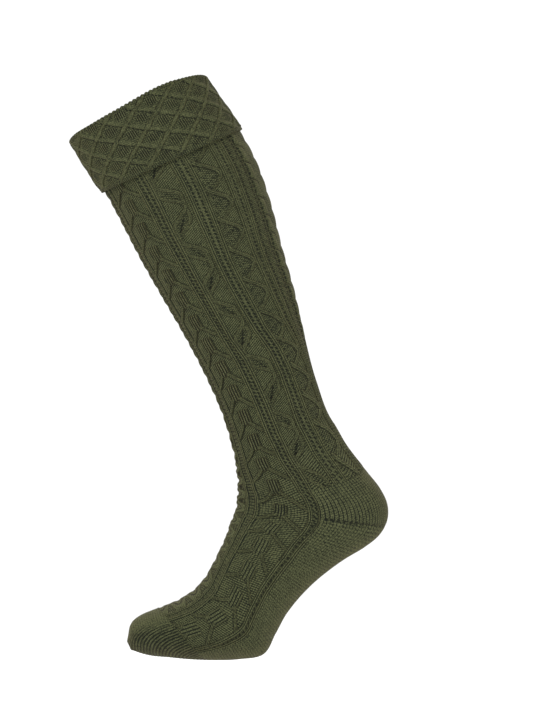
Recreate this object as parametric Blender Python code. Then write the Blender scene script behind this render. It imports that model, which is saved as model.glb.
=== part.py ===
# A knee-length cable-knit wool sock, holding the shape it has when worn.
# Metres, +Z up, the toe towards -X, the sock's left and right along Y.
# The origin is the middle of the leg opening, at the top edge of the cuff.

import math

import bpy
import numpy as np

for old in list(bpy.data.objects):
    bpy.data.objects.remove(old, do_unlink=True)

# Driving sizes: lengths run along the middle line of the sock, angles are degrees.
LEG_LENGTH = 0.333
LEG_LEAN = 25.0
LEG_BEND = 5.5
ANKLE_RADIUS = 0.1152
ANKLE_BEND = 64.5
FOOT_LENGTH = 0.1284
FOOT_BEND = 36.0
CALF_DEPTH = 0.134
CALF_WIDTH = 0.112
HEEL_DEPTH = 0.139
HEEL_WIDTH = 0.087
BALL_DEPTH = 0.089
BALL_WIDTH = 0.096

# Fabric and fits.
CUFF_LENGTH = 0.0555
CUFF_THICKNESS = 0.0030
CUFF_RETURN = 0.0080
WALL = 0.0022
PIECE_GAP = 0.0003
ROUNDNESS = 2.2

# Knit relief on the outside.
RIB_RISE = 0.0007
CABLE_RISE = 0.0013
LATTICE_RISE = 0.0011
CREASE_DEPTH = 0.0007
CABLE_REPEAT = 0.0244
ROPE_REPEAT = 0.0166
VINE_REPEAT = 0.0586
CUFF_DIAMONDS = 13
DIAMOND_HEIGHT = 0.0208
DIAMOND_START = -0.0016
DIAMOND_TURN = 0.197
RIM_BOW = 0.0104

# Sections down the leg: share of LEG_LENGTH, reach to the front and to the back as
# shares of CALF_DEPTH, half width as a share of CALF_WIDTH.
LEG_SECTIONS = [
    (0.000, 0.516, 0.478, 0.496),
    (0.060, 0.500, 0.502, 0.500),
    (0.120, 0.480, 0.532, 0.500),
    (0.180, 0.455, 0.557, 0.500),
    (0.250, 0.441, 0.572, 0.498),
    (0.310, 0.431, 0.567, 0.490),
    (0.375, 0.419, 0.552, 0.480),
    (0.500, 0.382, 0.506, 0.446),
    (0.625, 0.338, 0.472, 0.405),
    (0.750, 0.303, 0.424, 0.372),
    (0.875, 0.287, 0.393, 0.346),
]

# Sections round the ankle bend: share of the bend, reach to the front and to the back
# as shares of HEEL_DEPTH, half width as a share of HEEL_WIDTH.
HEEL_SECTIONS = [
    (0.0000, 0.298, 0.395, 0.437),
    (0.1250, 0.311, 0.443, 0.450),
    (0.2500, 0.308, 0.554, 0.478),
    (0.3125, 0.312, 0.628, 0.488),
    (0.3750, 0.309, 0.682, 0.492),
    (0.4375, 0.309, 0.693, 0.490),
    (0.5000, 0.306, 0.659, 0.482),
    (0.5625, 0.302, 0.585, 0.474),
    (0.6250, 0.303, 0.503, 0.468),
    (0.7500, 0.300, 0.401, 0.463),
    (0.8750, 0.280, 0.358, 0.468),
]

# Sections along the foot: share of FOOT_LENGTH, reach to the instep and to the sole as
# shares of BALL_DEPTH, half width as a share of BALL_WIDTH.
FOOT_SECTIONS = [
    (0.000, 0.399, 0.566, 0.438),
    (0.125, 0.341, 0.641, 0.455),
    (0.250, 0.275, 0.733, 0.480),
    (0.375, 0.227, 0.639, 0.498),
    (0.500, 0.208, 0.524, 0.488),
    (0.625, 0.205, 0.416, 0.462),
    (0.750, 0.207, 0.316, 0.420),
    (0.875, 0.183, 0.235, 0.350),
    (0.910, 0.164, 0.207, 0.314),
    (0.945, 0.129, 0.176, 0.266),
    (0.965, 0.089, 0.157, 0.220),
    (0.984, 0.015, 0.136, 0.150),
    (1.000, -0.050, 0.050, 0.000),
]

# Knit lines: each row is a share of the length from cuff to toe, then the shares of the
# girth, from the front centre line, where the panels meet on either side: front rib,
# rib pair, big cable, first ladder, vine, second ladder, diamonds, third ladder, rope.
# Past the heel the lines behind the first ladder only spread the plain sole.
PANEL_LINES = [
    (0.000, 0.030, 0.052, 0.144, 0.175, 0.246, 0.279, 0.346, 0.373, 0.408),
    (0.192, 0.030, 0.055, 0.149, 0.175, 0.246, 0.280, 0.346, 0.373, 0.410),
    (0.270, 0.033, 0.061, 0.158, 0.183, 0.250, 0.281, 0.348, 0.373, 0.419),
    (0.307, 0.033, 0.061, 0.162, 0.186, 0.254, 0.287, 0.354, 0.378, 0.424),
    (0.346, 0.035, 0.062, 0.167, 0.190, 0.261, 0.296, 0.362, 0.386, 0.431),
    (0.385, 0.037, 0.066, 0.176, 0.198, 0.276, 0.308, 0.375, 0.400, 0.442),
    (0.423, 0.042, 0.074, 0.188, 0.218, 0.300, 0.333, 0.404, 0.422, 0.460),
    (0.461, 0.045, 0.078, 0.194, 0.227, 0.312, 0.348, 0.428, 0.444, 0.472),
    (0.538, 0.052, 0.088, 0.206, 0.241, 0.317, 0.360, 0.441, 0.456, 0.478),
    (0.638, 0.065, 0.095, 0.222, 0.250, 0.327, 0.364, 0.441, 0.456, 0.478),
    (0.673, 0.075, 0.107, 0.256, 0.281, 0.335, 0.372, 0.430, 0.452, 0.477),
    (0.692, 0.083, 0.118, 0.268, 0.290, 0.338, 0.374, 0.428, 0.450, 0.476),
    (0.731, 0.096, 0.128, 0.285, 0.307, 0.345, 0.380, 0.426, 0.448, 0.475),
    (0.827, 0.101, 0.136, 0.288, 0.311, 0.347, 0.381, 0.426, 0.448, 0.475),
    (0.885, 0.140, 0.172, 0.319, 0.340, 0.370, 0.399, 0.438, 0.457, 0.479),
    (0.923, 0.155, 0.186, 0.340, 0.362, 0.388, 0.413, 0.446, 0.463, 0.482),
    (1.000, 0.170, 0.200, 0.350, 0.370, 0.394, 0.418, 0.449, 0.465, 0.483),
]

# Mesh columns inside each panel: share of the panel, plain rise as a share of RIB_RISE,
# cable swell as a share of CABLE_RISE, place in the repeat where the swell peaks.
FRONT_COLUMNS = [(0.50, 0.2, 0.6, 0.5)]
RIB_COLUMNS = [(0.0, 1.0, 0.0, 0.0), (0.5, -1.0, 0.0, 0.0)]
CABLE_COLUMNS = [(0.0, 1.0, 0.0, 0.0), (0.3, -0.4, 0.8, 0.3), (0.5, 0.2, 1.0, 0.3), (0.7, -0.4, 0.8, 0.3)]
VINE_COLUMNS = [(0.0, 1.0, 0.0, 0.0), (0.22, -0.4, 0.7, 0.0), (0.5, -0.4, 0.5, 0.25),
                (0.78, -0.4, 0.7, 0.5)]
DIAMOND_COLUMNS = [(0.0, 1.0, 0.0, 0.0), (0.33, -0.4, 0.7, 0.5), (0.67, -0.4, 0.7, 0.0)]
ROPE_COLUMNS = [(0.0, 1.0, 0.0, 0.0), (0.5, 0.0, 1.0, 0.0)]
BACK_COLUMNS = [(0.0, -1.0, 0.0, 0.0), (0.4, 0.6, 0.3, 0.0), (0.75, 0.2, 0.3, 0.5)]
PANELS = [
    (FRONT_COLUMNS, CABLE_REPEAT), (RIB_COLUMNS, CABLE_REPEAT), (CABLE_COLUMNS, CABLE_REPEAT),
    (RIB_COLUMNS, CABLE_REPEAT), (VINE_COLUMNS, VINE_REPEAT), (RIB_COLUMNS, CABLE_REPEAT),
    (DIAMOND_COLUMNS, 0.5 * VINE_REPEAT), (RIB_COLUMNS, CABLE_REPEAT), (ROPE_COLUMNS, ROPE_REPEAT),
    (BACK_COLUMNS, ROPE_REPEAT),
]

# How far the rim stands above its front end: share of the girth, share of RIM_BOW.
RIM_LINE = [
    (0.000, 0.00), (0.075, 0.36), (0.125, 0.47), (0.170, 0.62), (0.210, 0.73), (0.250, 0.86),
    (0.282, 0.97), (0.314, 1.00), (0.347, 0.94), (0.388, 0.72), (0.430, 0.48), (0.470, 0.18),
    (0.500, -0.10),
]

# Where the pieces meet, as shares of the leg, of the ankle bend or of the foot.
LEG_SPLIT = 0.54
HEEL_CORNER = 0.33
HEEL_TOP = 0.21
GORE_CORNER = 0.48
GORE_CENTRE = 0.455
HEEL_BOTTOM_CORNER = 0.62
HEEL_BOTTOM = 0.74
HEEL_SIDE_COLUMN = 10
TOE_TOP = 0.72
TOE_SOLE = 0.54

# Mesh steps.
UPPER_STEPS = 17
LOWER_STEPS = 19
LEG_INNER_STEPS = 5
BEND_STEPS = 6
INSTEP_STEPS = 12
INSTEP_INNER_STEPS = 4
HEEL_STEPS = 8
TOE_STEPS = 6

BEND_LENGTH = ANKLE_RADIUS * math.radians(ANKLE_BEND)
TOTAL_LENGTH = LEG_LENGTH + BEND_LENGTH + FOOT_LENGTH
CUFF_MIDDLE = 0.5 * (CUFF_RETURN + CUFF_LENGTH)


def bend_at(share):
    return LEG_LENGTH + share * BEND_LENGTH


def foot_at(share):
    return LEG_LENGTH + BEND_LENGTH + share * FOOT_LENGTH


def section_knots():
    rows = []
    for at, front, back, width in LEG_SECTIONS:
        rows.append((at * LEG_LENGTH, front * CALF_DEPTH, back * CALF_DEPTH, width * CALF_WIDTH))
    for at, front, back, width in HEEL_SECTIONS:
        rows.append((bend_at(at), front * HEEL_DEPTH, back * HEEL_DEPTH, width * HEEL_WIDTH))
    for at, front, back, width in FOOT_SECTIONS:
        rows.append((foot_at(at), front * BALL_DEPTH, back * BALL_DEPTH, width * BALL_WIDTH))
    return np.array(rows)


KNOTS = section_knots()


def smooth(u, places, values):
    """A smooth curve through the values, read at u."""
    gaps = np.diff(places)
    slopes = np.diff(values) / gaps
    tangents = np.empty_like(values)
    tangents[0] = slopes[0]
    tangents[-1] = slopes[-1]
    tangents[1:-1] = (slopes[:-1] * gaps[1:] + slopes[1:] * gaps[:-1]) / (gaps[1:] + gaps[:-1])
    i = np.clip(np.searchsorted(places, u) - 1, 0, len(places) - 2)
    t = np.clip((u - places[i]) / gaps[i], 0.0, 1.0)
    start = (1 + 2 * t) * (1 - t) ** 2 * values[i] + t * (1 - t) ** 2 * gaps[i] * tangents[i]
    end = t * t * (3 - 2 * t) * values[i + 1] + t * t * (t - 1) * gaps[i] * tangents[i + 1]
    return start + end


def middle_line(u):
    """Place and heading of the middle line at u; the heading is measured from straight down."""
    x = np.zeros_like(u)
    z = np.zeros_like(u)
    heading = np.zeros_like(u)
    start_x, start_z, lean, start = 0.0, 0.0, math.radians(LEG_LEAN), 0.0
    for length, bend in ((LEG_LENGTH, LEG_BEND), (BEND_LENGTH, ANKLE_BEND), (FOOT_LENGTH, FOOT_BEND)):
        turn = -math.radians(bend) / length
        here = (u >= start) | (start == 0.0)
        angle = lean + turn * (u - start)
        x = np.where(here, start_x + (math.cos(lean) - np.cos(angle)) / turn, x)
        z = np.where(here, start_z - (np.sin(angle) - math.sin(lean)) / turn, z)
        heading = np.where(here, angle, heading)
        end = lean + turn * length
        start_x += (math.cos(lean) - math.cos(end)) / turn
        start_z -= (math.sin(end) - math.sin(lean)) / turn
        lean = end
        start += length
    return x, z, heading


def outline(u, angle):
    """The smooth body at u, angle 0 at the front centre line and pi at the back."""
    x, z, heading = middle_line(u)
    front = smooth(u, KNOTS[:, 0], KNOTS[:, 1])
    back = smooth(u, KNOTS[:, 0], KNOTS[:, 2])
    half = smooth(u, KNOTS[:, 0], KNOTS[:, 3])
    across = np.sign(np.cos(angle)) * np.abs(np.cos(angle)) ** (2 / ROUNDNESS)
    side = np.sign(np.sin(angle)) * np.abs(np.sin(angle)) ** (2 / ROUNDNESS)
    reach = (back - front) / 2 - (front + back) / 2 * across
    return np.stack([x + np.cos(heading) * reach, -half * side, z + np.sin(heading) * reach], axis=-1)


def body(u, v):
    """The smooth body at u and at the share v of the girth, counted from the front."""
    angles = np.linspace(0.0, 2 * math.pi, 145)
    ring = outline(u[..., None], np.broadcast_to(angles, u.shape + angles.shape))
    steps = np.linalg.norm(np.diff(ring, axis=-2), axis=-1)
    run = np.concatenate([np.zeros(u.shape + (1,)), np.cumsum(steps, axis=-1)], axis=-1)
    flat_run = run.reshape(-1, run.shape[-1])
    flat_v = np.mod(v, 1.0).reshape(-1)
    angle = np.array([np.interp(s * r[-1], r, angles) for s, r in zip(flat_v, flat_run)])
    return outline(u, angle.reshape(u.shape))


def lifted(u, v, rise):
    """A point at rise above the smooth body, along its normal."""
    u = np.minimum(u, TOTAL_LENGTH)
    step = 0.0004
    here = body(u, v)
    along = body(np.minimum(u + step, TOTAL_LENGTH), v) - body(u - step, v)
    around = body(u, v + step) - body(u, v - step)
    normal = np.cross(along, around)
    size = np.linalg.norm(normal, axis=-1, keepdims=True)
    _, _, heading = middle_line(u)
    ahead = np.stack([np.sin(heading), np.zeros_like(heading), -np.cos(heading)], axis=-1)
    tip = u[..., None] > TOTAL_LENGTH - step
    normal = np.where(tip, ahead, normal / np.maximum(size, 1e-12))
    return here + normal * rise[..., None]


def pace(u, v):
    """How far the surface moves for each metre of the middle line."""
    step = 0.0005
    return np.linalg.norm(body(u + step, v) - body(u - step, v), axis=-1) / (2 * step)


COLUMNS = [(p,) + column for p, (columns, _) in enumerate(PANELS) for column in columns]
LINES = np.array(PANEL_LINES)
NUMBER_ROUND = 2 * len(COLUMNS) + 2


def column_place(u, column):
    """Share of the girth of one column of the near side at each u."""
    panel, share = column[0], column[1]
    at = LINES[:, 0] * TOTAL_LENGTH
    low = np.interp(u, at, LINES[:, panel]) if panel else np.zeros_like(u)
    high = np.interp(u, at, LINES[:, panel + 1]) if panel + 1 < LINES.shape[1] else np.full_like(u, 0.5)
    return low + share * (high - low)


def column_rise(u, column):
    """Height of the knit in one column at each u."""
    panel, _, plain, swell, place = column
    wave = 0.5 + 0.5 * np.cos(2 * math.pi * (u / PANELS[panel][1] - place))
    return plain * RIB_RISE + swell * CABLE_RISE * wave


def place_and_rise(u):
    """Share of the girth and knit height for rows of u, one value for each column."""
    v = np.zeros_like(u)
    rise = np.full_like(u, 0.3 * RIB_RISE)
    half = len(COLUMNS)
    v[..., half + 1] = 0.5
    for j, column in enumerate(COLUMNS):
        far = NUMBER_ROUND - 1 - j
        v[..., j + 1] = column_place(u[..., j + 1], column)
        v[..., far] = 1.0 - column_place(u[..., far], column)
        rise[..., j + 1] = column_rise(u[..., j + 1], column)
        rise[..., far] = column_rise(u[..., far], column)
    return v, rise


def ankle_places():
    """Shares of the girth of all columns at the heel's corner."""
    return place_and_rise(np.full((1, NUMBER_ROUND), bend_at(HEEL_CORNER)))[0][0]


def heel_weight():
    """0 up to the heel's corner column, 1 at the back centre line, one value for each column."""
    v = ankle_places()
    corner = v[HEEL_SIDE_COLUMN]
    return np.clip((np.minimum(v, 1.0 - v) - corner) / (0.5 - corner), 0.0, 1.0)


def near_edge(edge, distance):
    """An edge line moved along the surface by distance, past it if positive."""
    v, _ = place_and_rise(edge)
    return edge + distance / pace(edge, v)


def add_piece(name, points, faces, colour):
    mesh = bpy.data.meshes.new(name)
    mesh.from_pydata([tuple(float(c) for c in p) for p in points], [], faces)
    mesh.validate()
    piece = bpy.data.objects.new(name, mesh)
    bpy.context.collection.objects.link(piece)
    wool = bpy.data.materials.new(name + " wool")
    wool.use_nodes = True
    shader = wool.node_tree.nodes["Principled BSDF"]
    shader.inputs["Base Color"].default_value = colour
    shader.inputs["Roughness"].default_value = 0.9
    mesh.materials.append(wool)
    return piece


def split(a, b, c, d, flip):
    """Two triangles over the corners a b c d."""
    return [(a, b, d), (b, c, d)] if flip else [(a, b, c), (a, c, d)]


def shell(name, outside, inside, inner_rows, has, closed, colour):
    """A cloth piece from a grid of outside points and a sparser grid of inside points.

    has(i, j) says whether the cell from row i to i + 1 and column j to j + 1 is cloth;
    closed joins the last column to the first.
    """
    rows, cols = outside.shape[:2]
    across = cols if closed else cols - 1
    index = {}
    points = []

    def corner(layer, i, j):
        key = (layer, i, j % cols)
        if key not in index:
            index[key] = len(points)
            points.append((inside if layer else outside)[i, j % cols])
        return index[key]

    faces = []
    cells = {(i, j) for i in range(rows - 1) for j in range(across) if has(i, j)}
    for i, j in sorted(cells):
        a, b = corner(0, i, j), corner(0, i, j + 1)
        c, d = corner(0, i + 1, j + 1), corner(0, i + 1, j)
        faces += split(a, d, c, b, (i + j) % 2 == 0)
    for low, high in zip(inner_rows[:-1], inner_rows[1:]):
        for j in range(across):
            if (low, j) in cells:
                a, b = corner(1, low, j), corner(1, low, j + 1)
                c, d = corner(1, high, j + 1), corner(1, high, j)
                faces += split(a, b, c, d, (low + j) % 2 == 0)
    for i, j in sorted(cells):
        if (i - 1, j) not in cells:
            faces += split(corner(0, i, j), corner(0, i, j + 1), corner(1, i, j + 1),
                           corner(1, i, j), False)
        if (i + 1, j) not in cells:
            faces += split(corner(0, i + 1, j + 1), corner(0, i + 1, j),
                           corner(1, i + 1, j), corner(1, i + 1, j + 1), False)
        before = (i, (j - 1) % cols) if closed else (i, j - 1)
        after = (i, (j + 1) % cols) if closed else (i, j + 1)
        if before not in cells:
            faces += split(corner(0, i + 1, j), corner(0, i, j), corner(1, i, j),
                           corner(1, i + 1, j), False)
        if after not in cells:
            faces += split(corner(0, i, j + 1), corner(0, i + 1, j + 1),
                           corner(1, i + 1, j + 1), corner(1, i, j + 1), False)
    return add_piece(name, points, faces, colour)


def leg_band(name, top, bottom, steps, hidden, colour):
    """A band of the leg between two edge lines, its first rows plain where the cuff hides them."""
    u = top + np.linspace(0.0, 1.0, steps)[:, None] * (bottom - top)
    if hidden is not None:
        u = np.concatenate([hidden, u], axis=0)
    v, rise = place_and_rise(u)
    rise[-1] = 0.0
    rise[:1 if hidden is None else len(hidden) + 1] = 0.0
    outside = lifted(u, v, rise)
    inside = lifted(u, v, np.full_like(u, -WALL))
    inner = sorted({int(r) for r in np.linspace(0, len(u) - 1, LEG_INNER_STEPS)})
    return shell(name, outside, inside, inner, lambda i, j: True, True, colour)


def build_leg():
    """The tube of the leg in two bands, from inside the cuff's return to the heel's top edge."""
    around = np.ones(NUMBER_ROUND)
    start = (CUFF_RETURN + PIECE_GAP) * around
    hidden = np.stack([start, CUFF_MIDDLE * around])
    middle = LEG_SPLIT * LEG_LENGTH * around
    low = bend_at(HEEL_CORNER + (HEEL_TOP - HEEL_CORNER) * heel_weight())
    leg_band("leg_upper", CUFF_LENGTH * around, near_edge(middle, -0.5 * PIECE_GAP),
             UPPER_STEPS, hidden, (0.062, 0.066, 0.036, 1.0))
    leg_band("leg_lower", near_edge(middle, 0.5 * PIECE_GAP), near_edge(low, -0.5 * PIECE_GAP),
             LOWER_STEPS, None, (0.062, 0.066, 0.036, 1.0))


def lattice(u, v):
    """1 on the crossing strands of the cuff's diamonds, falling to 0 at their centres."""
    across = CUFF_DIAMONDS * v - DIAMOND_TURN
    down = (u - DIAMOND_START) / DIAMOND_HEIGHT + 0.5
    rising = np.abs(np.mod(across + down, 1.0) - 0.5)
    falling = np.abs(np.mod(across - down, 1.0) - 0.5)
    return 1.0 - 4.0 * np.minimum(rising, falling)


def rim_rise(v):
    """How far the rim stands above its front end."""
    side = np.minimum(v, 1.0 - v)
    places = np.array(RIM_LINE)
    return RIM_BOW * np.interp(side, places[:, 0], places[:, 1])


def build_cuff():
    """A turned-down band: outer ply, round fold, and a short return meeting the leg's edge.

    Each row of the profile is a place along the sock, a height above the body, the share of
    the rim's bow that it follows, and the share of the diamonds' relief that it shows.
    """
    columns = 4 * CUFF_DIAMONDS
    stand = CUFF_THICKNESS + PIECE_GAP
    profile = [(0.0030, stand + 0.4 * RIB_RISE, 1.0, 0.0), (0.0008, stand - 0.0009, 1.0, 0.0)]
    profile += [(0.0, 0.5 * (stand - WALL), 1.0, 0.0), (0.0008, 0.0009 - WALL, 1.0, 0.0)]
    profile += [(0.0030, -WALL, 1.0, 0.0), (CUFF_RETURN, -WALL, 0.0, 0.0)]
    profile += [(CUFF_RETURN, PIECE_GAP, 0.0, 0.0), (CUFF_MIDDLE, PIECE_GAP, 0.0, 0.0)]
    profile += [(CUFF_LENGTH, PIECE_GAP, 0.0, 0.0), (CUFF_LENGTH, stand - 0.0008, 0.0, 0.0)]
    profile += [(CUFF_LENGTH - 0.0012, stand, 0.0, 0.0)]
    quarters = int((CUFF_LENGTH - 0.0040 - DIAMOND_START) / (0.25 * DIAMOND_HEIGHT))
    for k in range(quarters, 1, -1):
        profile.append((DIAMOND_START + 0.25 * DIAMOND_HEIGHT * k, stand, 0.0, 1.0))
    profile.append((0.5 * (0.0030 + profile[-1][0]), stand, 0.5, 1.0))
    v = np.arange(columns) / columns
    grid = np.empty((len(profile), columns, 3))
    for i, (at, rise, follow, relief) in enumerate(profile):
        u = at - follow * rim_rise(v)
        grid[i] = lifted(u, v, rise + relief * LATTICE_RISE * lattice(u, v))
    points = grid.reshape(-1, 3)
    faces = []
    for i in range(len(profile)):
        after = (i + 1) % len(profile)
        for j in range(columns):
            k = (j + 1) % columns
            corners = (i * columns + j, i * columns + k, after * columns + k, after * columns + j)
            faces += split(*corners, (i + j) % 2 == 1)
    return add_piece("cuff", points, faces, (0.058, 0.062, 0.033, 1.0))


def build_heel():
    """The heel cup, between the leg's edge above and the sole's edge below."""
    first, last = HEEL_SIDE_COLUMN, NUMBER_ROUND - HEEL_SIDE_COLUMN
    weight = heel_weight()
    top = near_edge(bend_at(HEEL_CORNER + (HEEL_TOP - HEEL_CORNER) * weight), 0.5 * PIECE_GAP)
    gore = bend_at(GORE_CORNER + (GORE_CENTRE - GORE_CORNER) * weight)
    bottom = bend_at(HEEL_BOTTOM_CORNER + (HEEL_BOTTOM - HEEL_BOTTOM_CORNER) * weight)
    bottom = near_edge(bottom, -0.5 * PIECE_GAP)
    half = HEEL_STEPS // 2
    share = np.linspace(0.0, 1.0, half + 1)[:, None]
    u = np.concatenate([top + share * (gore - top), (gore + share * (bottom - gore))[1:]], axis=0)
    v, _ = place_and_rise(u)
    v[:, first] += side_gap()
    v[:, last] -= side_gap()
    rise = np.zeros_like(u)
    rise[half] = -CREASE_DEPTH
    outside = lifted(u, v, rise)[:, first:last + 1]
    inside = lifted(u, v, np.full_like(u, -WALL))[:, first:last + 1]
    return shell("heel", outside, inside, list(range(len(u))), lambda i, j: True, False,
                 (0.066, 0.069, 0.038, 1.0))


def side_gap():
    """Half the gap between pieces, as a share of the girth at the heel."""
    ring = body(np.full(72, bend_at(0.5)), np.arange(72) / 71)
    return 0.5 * PIECE_GAP / np.linalg.norm(np.diff(ring, axis=0), axis=-1).sum()


def toe_line():
    """Where the toe cap starts, nearer the tip on top than on the sole."""
    u = np.full(NUMBER_ROUND, foot_at(TOE_TOP))
    for _ in range(4):
        v, _ = place_and_rise(u[None, :])
        u = foot_at(TOE_TOP + (TOE_SOLE - TOE_TOP) * (0.5 - 0.5 * np.cos(2 * math.pi * v[0])))
    return u


def build_foot():
    """Instep and sole in one piece, with the heel's cup left out at the back."""
    first, last = HEEL_SIDE_COLUMN, NUMBER_ROUND - HEEL_SIDE_COLUMN
    weight = heel_weight()
    top = near_edge(bend_at(HEEL_CORNER) * np.ones(NUMBER_ROUND), 0.5 * PIECE_GAP)
    notch_share = HEEL_BOTTOM_CORNER + (HEEL_BOTTOM - HEEL_BOTTOM_CORNER) * weight
    notch = near_edge(bend_at(notch_share), 0.5 * PIECE_GAP)
    edge = near_edge(toe_line(), -0.5 * PIECE_GAP)
    upper = np.linspace(0.0, 1.0, BEND_STEPS + 1)[:, None]
    lower = np.linspace(0.0, 1.0, INSTEP_STEPS + 1)[1:, None]
    u = np.concatenate([top + upper * (notch - top), notch + lower * (edge - notch)], axis=0)
    v, rise = place_and_rise(u)
    v[:BEND_STEPS + 1, first] -= side_gap()
    v[:BEND_STEPS + 1, last] += side_gap()
    rise[:, first + 1:last] = 0.0
    rise[0] = 0.0
    rise[-1] = 0.0
    outside = lifted(u, v, rise)
    inside = lifted(u, v, np.full_like(u, -WALL))
    inner = set(range(BEND_STEPS + 1))
    inner |= {int(r) for r in np.linspace(BEND_STEPS, len(u) - 1, INSTEP_INNER_STEPS)}

    def cloth(i, j):
        return i >= BEND_STEPS or j < first or j >= last

    return shell("foot", outside, inside, sorted(inner), cloth, True, (0.064, 0.067, 0.037, 1.0))


def build_toe():
    """The closed toe cap: rings that shrink to one point inside and outside."""
    edge = near_edge(toe_line(), 0.5 * PIECE_GAP)
    v0, _ = place_and_rise(edge)
    end = TOTAL_LENGTH
    share = 1.0 - (1.0 - np.linspace(0.0, 0.985, TOE_STEPS)) ** 1.35
    u = edge + share[:, None] * (end - edge)
    v = np.broadcast_to(v0, u.shape)
    outside = lifted(u, v, np.zeros_like(u))
    inside = lifted(u, v, np.full_like(u, -WALL))
    tip = lifted(np.array([end]), np.array([0.0]), np.array([0.0]))[0]
    hollow = lifted(np.array([end]), np.array([0.0]), np.array([-WALL]))[0]
    count = NUMBER_ROUND
    points = list(outside.reshape(-1, 3)) + list(inside.reshape(-1, 3)) + [tip, hollow]
    offset = TOE_STEPS * count
    faces = []
    for j in range(count):
        k = (j + 1) % count
        for i in range(TOE_STEPS - 1):
            a, b, c, d = i * count + j, i * count + k, (i + 1) * count + k, (i + 1) * count + j
            faces += split(a, d, c, b, (i + j) % 2 == 0)
            faces += split(offset + a, offset + b, offset + c, offset + d, (i + j) % 2 == 0)
        last = (TOE_STEPS - 1) * count
        faces.append((last + j, 2 * offset, last + k))
        faces.append((offset + last + k, 2 * offset + 1, offset + last + j))
        faces += split(j, k, offset + k, offset + j, False)
    return add_piece("toe", points, faces, (0.060, 0.064, 0.035, 1.0))


build_cuff()
build_leg()
build_heel()
build_foot()
build_toe()
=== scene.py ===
# Looks of the knitted wool sock: every surface is rebuilt from the same sizes and tables
# as the solids, with the knit worked as relief and the single stitches as bump; shade in the
# holes, grooves and hollows and beside the raised strands is painted into the colour.

import math

import bpy
import numpy as np
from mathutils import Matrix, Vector


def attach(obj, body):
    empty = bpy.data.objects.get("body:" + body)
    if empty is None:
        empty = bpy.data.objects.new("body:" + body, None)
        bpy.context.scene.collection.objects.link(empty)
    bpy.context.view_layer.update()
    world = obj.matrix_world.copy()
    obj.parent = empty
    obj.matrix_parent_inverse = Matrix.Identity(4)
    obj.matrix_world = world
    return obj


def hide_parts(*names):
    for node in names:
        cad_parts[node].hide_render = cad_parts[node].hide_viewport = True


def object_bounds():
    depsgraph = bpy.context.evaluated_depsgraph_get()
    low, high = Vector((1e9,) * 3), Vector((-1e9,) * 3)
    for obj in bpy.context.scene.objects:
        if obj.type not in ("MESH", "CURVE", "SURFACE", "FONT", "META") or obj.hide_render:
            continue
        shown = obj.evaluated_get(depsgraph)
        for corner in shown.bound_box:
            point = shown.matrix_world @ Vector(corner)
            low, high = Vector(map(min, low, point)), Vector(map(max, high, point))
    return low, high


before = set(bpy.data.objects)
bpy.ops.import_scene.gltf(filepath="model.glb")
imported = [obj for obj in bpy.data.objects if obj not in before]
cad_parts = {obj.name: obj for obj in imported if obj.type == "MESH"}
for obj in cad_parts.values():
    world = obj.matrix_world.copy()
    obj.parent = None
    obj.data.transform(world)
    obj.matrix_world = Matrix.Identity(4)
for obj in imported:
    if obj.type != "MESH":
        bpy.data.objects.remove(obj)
cad_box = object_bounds()

# The sock's sizes and tables, repeated from the solids: metres and degrees.
LEG_LENGTH = 0.333
LEG_LEAN = 25.0
LEG_BEND = 5.5
ANKLE_RADIUS = 0.1152
ANKLE_BEND = 64.5
FOOT_LENGTH = 0.1284
FOOT_BEND = 36.0
CALF_DEPTH = 0.134
CALF_WIDTH = 0.112
HEEL_DEPTH = 0.139
HEEL_WIDTH = 0.087
BALL_DEPTH = 0.089
BALL_WIDTH = 0.096
CUFF_LENGTH = 0.0555
CUFF_THICKNESS = 0.0030
CUFF_RETURN = 0.0080
WALL = 0.0022
PIECE_GAP = 0.0003
ROUNDNESS = 2.2
ROPE_REPEAT = 0.0166
CUFF_DIAMONDS = 13
DIAMOND_HEIGHT = 0.0208
DIAMOND_START = -0.0016
DIAMOND_TURN = 0.197
RIM_BOW = 0.0104

# Sections: place as a share of the stretch, then the depth in front of the middle line and
# behind it and the half width, as shares of the stretch's own depth and width.
LEG_SECTIONS = [
    (0.000, 0.516, 0.478, 0.496),
    (0.060, 0.500, 0.502, 0.500),
    (0.120, 0.480, 0.532, 0.500),
    (0.180, 0.455, 0.557, 0.500),
    (0.250, 0.441, 0.572, 0.498),
    (0.310, 0.431, 0.567, 0.490),
    (0.375, 0.419, 0.552, 0.480),
    (0.500, 0.382, 0.506, 0.446),
    (0.625, 0.338, 0.472, 0.405),
    (0.750, 0.303, 0.424, 0.372),
    (0.875, 0.287, 0.393, 0.346),
]
HEEL_SECTIONS = [
    (0.0000, 0.298, 0.395, 0.437),
    (0.1250, 0.311, 0.443, 0.450),
    (0.2500, 0.308, 0.554, 0.478),
    (0.3125, 0.312, 0.628, 0.488),
    (0.3750, 0.309, 0.682, 0.492),
    (0.4375, 0.309, 0.693, 0.490),
    (0.5000, 0.306, 0.659, 0.482),
    (0.5625, 0.302, 0.585, 0.474),
    (0.6250, 0.303, 0.503, 0.468),
    (0.7500, 0.300, 0.401, 0.463),
    (0.8750, 0.280, 0.358, 0.468),
]
FOOT_SECTIONS = [
    (0.000, 0.399, 0.566, 0.438),
    (0.125, 0.341, 0.641, 0.455),
    (0.250, 0.275, 0.733, 0.480),
    (0.375, 0.227, 0.639, 0.498),
    (0.500, 0.208, 0.524, 0.488),
    (0.625, 0.205, 0.416, 0.462),
    (0.750, 0.207, 0.316, 0.420),
    (0.875, 0.183, 0.235, 0.350),
    (0.910, 0.164, 0.207, 0.314),
    (0.945, 0.129, 0.176, 0.266),
    (0.965, 0.089, 0.157, 0.220),
    (0.984, 0.015, 0.136, 0.150),
    (1.000, -0.050, 0.050, 0.000),
]

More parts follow.
